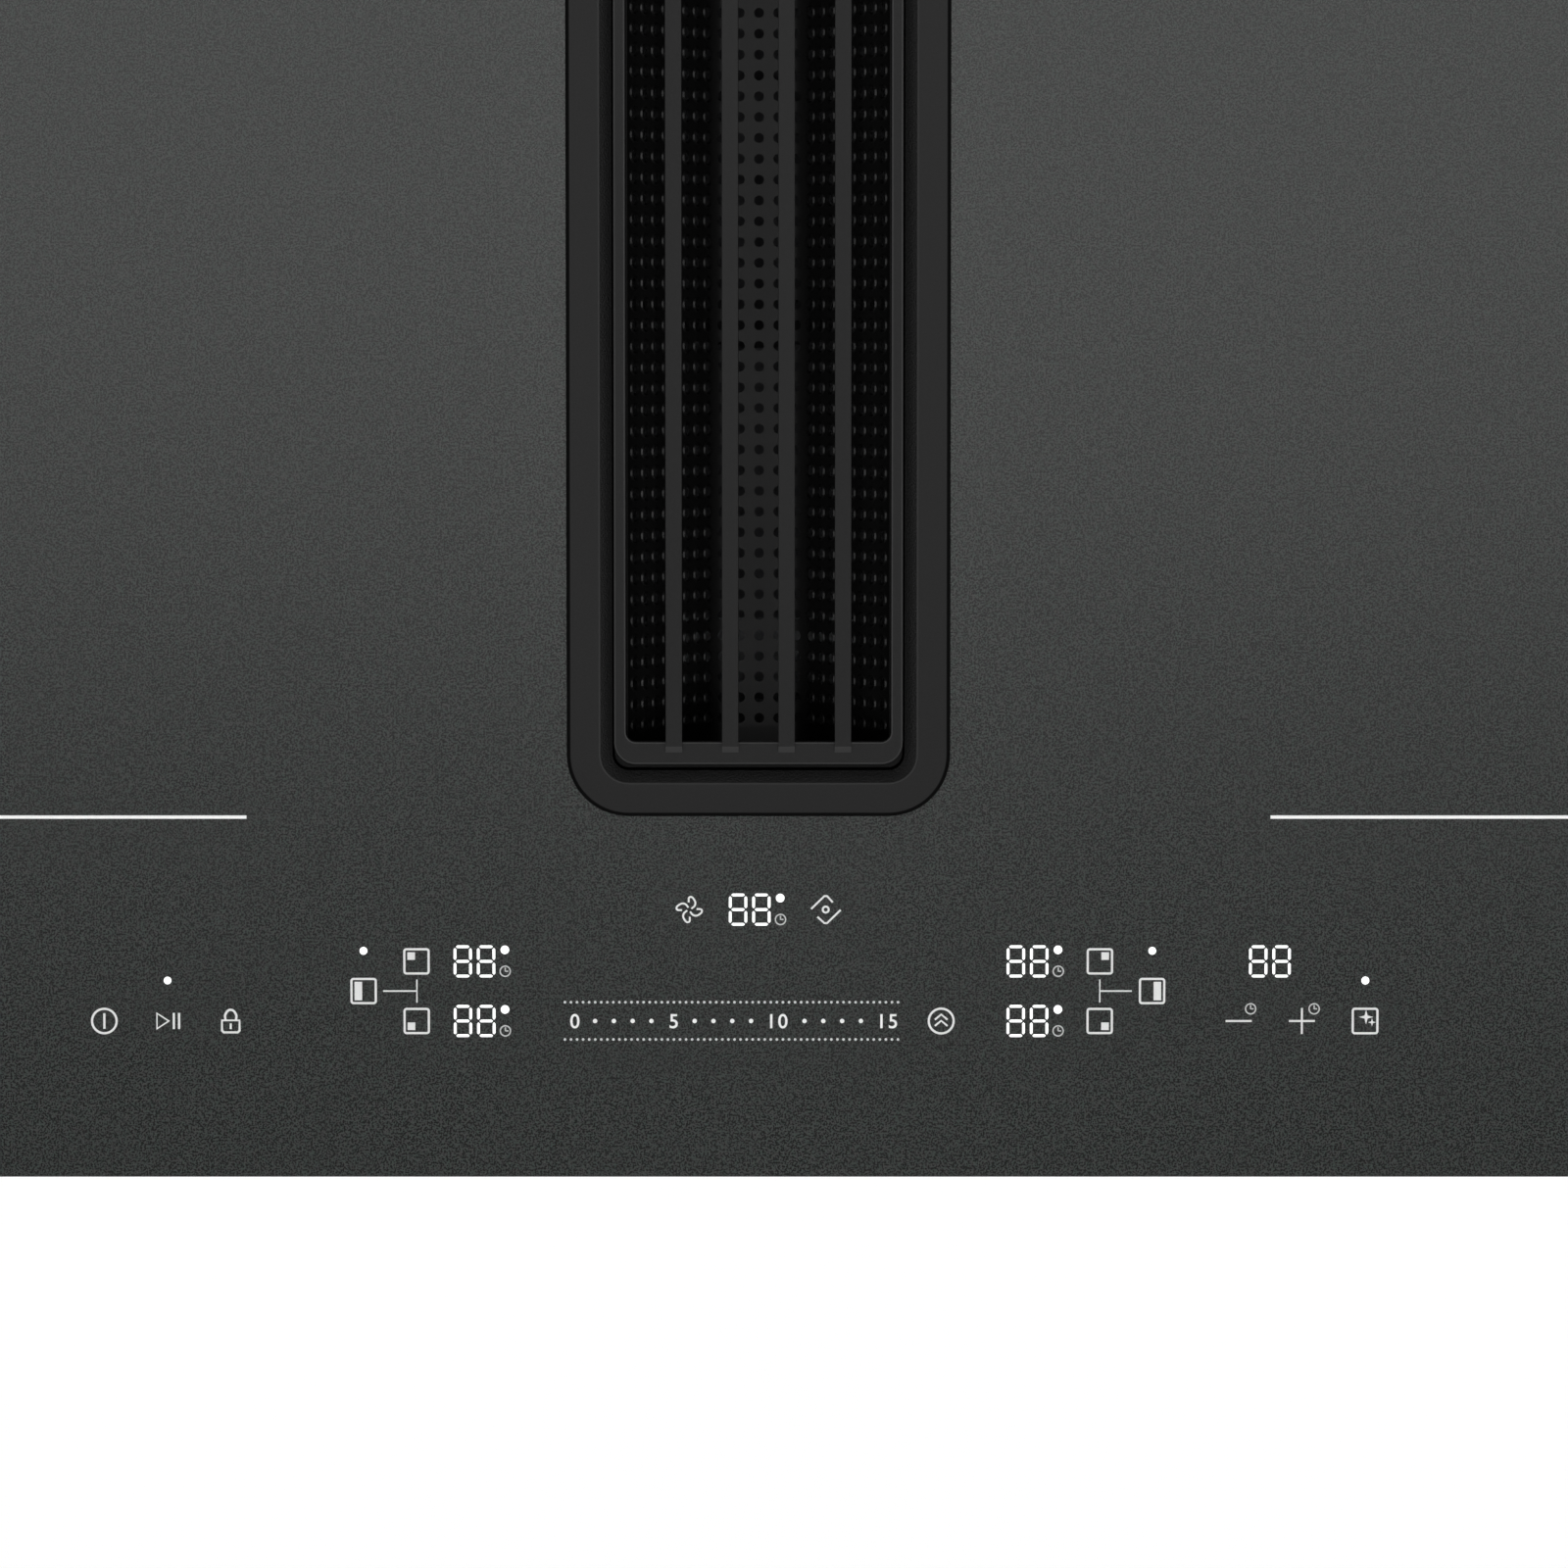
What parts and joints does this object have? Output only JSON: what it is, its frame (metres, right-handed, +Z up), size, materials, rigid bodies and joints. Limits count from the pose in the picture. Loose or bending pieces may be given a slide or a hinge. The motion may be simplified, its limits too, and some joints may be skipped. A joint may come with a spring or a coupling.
{
  "type": "downdraft induction cooktop",
  "caption": "Built-in black glass induction cooktop with touch controls and a central slot, grille and filter over a blower with a rear flat-duct outlet.",
  "frame": {"origin": "centre of the worktop seat, the underside of the foam gasket under the glass", "axes": "+X to the cook's right, -Y towards the cook, +Z up"},
  "size_m": [0.83, 0.52, 0.2136],
  "materials": {
    "glass_ceramic": "matte black, fine speckle",
    "satin_black": "satin black",
    "grille_black": "satin black",
    "filter_metal": "dark coated sheet",
    "foam": "closed-cell foam",
    "silicone": "soft matte",
    "black_plastic": "moulded, fine grain",
    "grey_plastic": "moulded",
    "white_plastic": "moulded",
    "galvanised_steel": "galvanised sheet",
    "spring_steel": "bright",
    "zinc": "zinc plated",
    "motor_metal": "die-cast",
    "aluminium_sheet": "mill finish",
    "copper_winding": "enamelled strand",
    "circuit_board": "solder mask",
    "insulation": "mica sheet",
    "ferrite": "sintered"
  },
  "bodies": {
    "root": {"base_pan": "galvanised_steel", "blower_lower_shell": "black_plastic", "blower_motor": "motor_metal", "blower_upper_shell": "black_plastic", "board_standoffs": "white_plastic", "cable_gland": "grey_plastic", "capacitors": "black_plastic", "case_screws": "zinc", "chokes": "copper_winding", "coil_former_front_left": "grey_plastic", "coil_former_front_right": "grey_plastic", "coil_former_rear_left": "grey_plastic", "coil_former_rear_right": "grey_plastic", "coil_front_left": "copper_winding", "coil_front_right": "copper_winding", "coil_plate_left": "aluminium_sheet", "coil_plate_right": "aluminium_sheet", "coil_rear_left": "copper_winding", "coil_rear_right": "copper_winding", "control_board": "circuit_board", "control_carrier": "white_plastic", "cooling_fan_housing_left": "black_plastic", "cooling_fan_housing_right": "black_plastic", "digit_displays": "white_plastic", "ferrite_bars": "ferrite", "fixing_brackets": "galvanised_steel", "glass_top": "glass_ceramic", "heatsink_left": "aluminium_sheet", "heatsink_right": "aluminium_sheet", "insulation_sheet_left": "insulation", "insulation_sheet_right": "insulation", "outlet_spigot": "black_plastic", "plate_posts": "white_plastic", "plate_springs": "spring_steel", "power_board_left": "circuit_board", "power_board_right": "circuit_board", "rim_gasket": "foam", "slot_frame": "satin_black", "slot_frame_seal": "silicone", "temperature_sensors": "white_plastic", "terminal_block": "white_plastic", "terminal_cover": "galvanised_steel", "touch_springs": "spring_steel", "well_housing": "black_plastic", "well_seal": "foam"},
    "filter": {"filter_frame": "filter_metal", "filter_trough": "filter_metal"},
    "grille": {"grille_bars": "grille_black", "grille_pads": "silicone", "grille_ring": "grille_black"},
    "impeller": {"impeller": "black_plastic"},
    "left_fan_rotor": {"cooling_fan_rotor_left": "black_plastic"},
    "right_fan_rotor": {"cooling_fan_rotor_right": "black_plastic"},
    "upper_flap": {"upper_flap": "grey_plastic"},
    "lower_flap": {"lower_flap": "grey_plastic"},
    "drip_cup": {"drip_cup": "grey_plastic"}
  },
  "joints": [
    {"name": "filter_lift", "type": "slide", "parent": "root", "child": "filter", "axis": [0, 0, 1], "range_m": [0, 0.08]},
    {"name": "grille_lift", "type": "slide", "parent": "filter", "child": "grille", "axis": [0, 0, 1], "range_m": [0, 0.05]},
    {"name": "impeller_spin", "type": "hinge", "parent": "root", "child": "impeller", "pos_m": [0, 0.06, -0.14], "axis": [0, 0, 1], "continuous": true},
    {"name": "left_fan_spin", "type": "hinge", "parent": "root", "child": "left_fan_rotor", "pos_m": [-0.245, 0.102, -0.042], "axis": [0, 0, 1], "continuous": true},
    {"name": "right_fan_spin", "type": "hinge", "parent": "root", "child": "right_fan_rotor", "pos_m": [0.245, 0.102, -0.042], "axis": [0, 0, 1], "continuous": true},
    {"name": "upper_flap_swing", "type": "hinge", "parent": "root", "child": "upper_flap", "pos_m": [0.027, 0.212, -0.1185], "axis": [1, 0, 0], "range_deg": [0, 75]},
    {"name": "lower_flap_swing", "type": "hinge", "parent": "root", "child": "lower_flap", "pos_m": [0.027, 0.212, -0.1605], "axis": [1, 0, 0], "range_deg": [0, 75]},
    {"name": "drip_cup_pull", "type": "slide", "parent": "root", "child": "drip_cup", "axis": [0, -1, 0], "range_m": [0, 0.05]}
  ]
}
